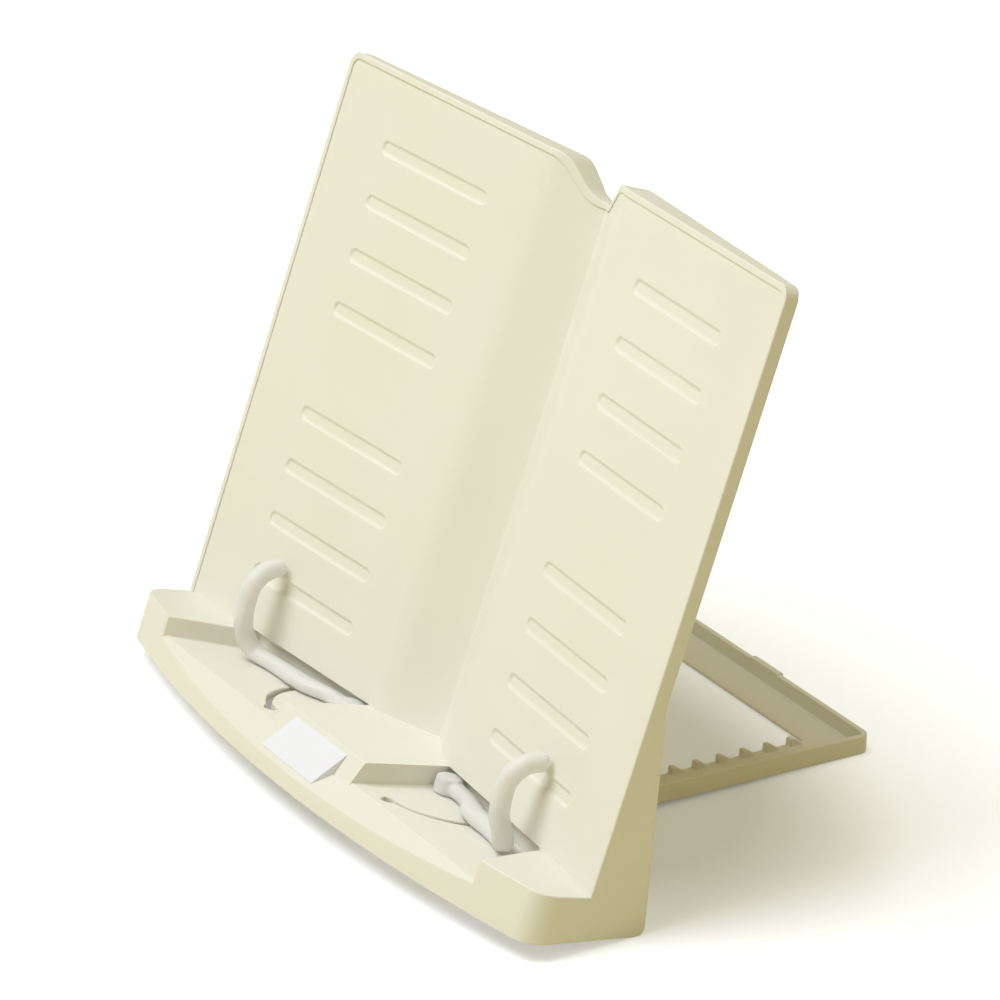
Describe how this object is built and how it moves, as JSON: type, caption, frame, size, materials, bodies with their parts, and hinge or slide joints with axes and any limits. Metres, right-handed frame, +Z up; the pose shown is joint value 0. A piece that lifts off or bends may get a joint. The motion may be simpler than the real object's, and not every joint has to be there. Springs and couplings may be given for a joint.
{
  "type": "book stand",
  "caption": "Folding plastic book stand: a V-folded reading panel with a bowed ledge, swinging page clips and a toothed rear frame held by a hinged stay.",
  "frame": {"origin": "middle of the bounding box on the table, under the heels and the rear edge of the support frame", "axes": "+X to the reader's right along the ledge, +Y away from the reader, +Z up; the panel leans back from the reader"},
  "size_m": [0.27, 0.1922, 0.2046],
  "materials": {
    "ivory_shell": "satin ivory moulding with a fine texture",
    "ivory_frame": "satin ivory moulding, a little smoother",
    "clip_clear": "milky translucent plastic, soft gloss",
    "label_white": "smooth white printed film, blank",
    "steel": "plain bright steel"
  },
  "bodies": {
    "stand": {"body_shell": "ivory_shell", "label": "label_white", "frame_pin_left": "steel", "frame_pin_right": "steel", "stay_pin": "steel"},
    "rear_frame": {"support_frame": "ivory_frame"},
    "stay": {"prop_stay": "ivory_frame"},
    "clip_left": {"page_clip_left": "clip_clear", "clip_washer_left": "steel", "clip_screw_left": "steel"},
    "clip_right": {"page_clip_right": "clip_clear", "clip_washer_right": "steel", "clip_screw_right": "steel"}
  },
  "joints": [
    {"name": "frame_fold", "type": "hinge", "parent": "stand", "child": "rear_frame", "pos_m": [0, -0.03851, 0.00614], "axis": [1, 0, 0], "range_deg": [-27, 0]},
    {"name": "stay_fold", "type": "hinge", "parent": "stand", "child": "stay", "pos_m": [0, -0.00021, 0.08213], "axis": [1, 0, 0], "range_deg": [-27, 0]},
    {"name": "clip_left_swing", "type": "hinge", "parent": "stand", "child": "clip_left", "pos_m": [-0.033, -0.05152, 0.00473], "axis": [0, 0.2756, 0.9613], "range_deg": [0, 64]},
    {"name": "clip_right_swing", "type": "hinge", "parent": "stand", "child": "clip_right", "pos_m": [0.033, -0.05152, 0.00473], "axis": [0, -0.2756, -0.9613], "range_deg": [0, 64]}
  ],
  "couplings": [
    {"joint": "stay_fold", "follows": "frame_fold", "ratio": 1}
  ]
}
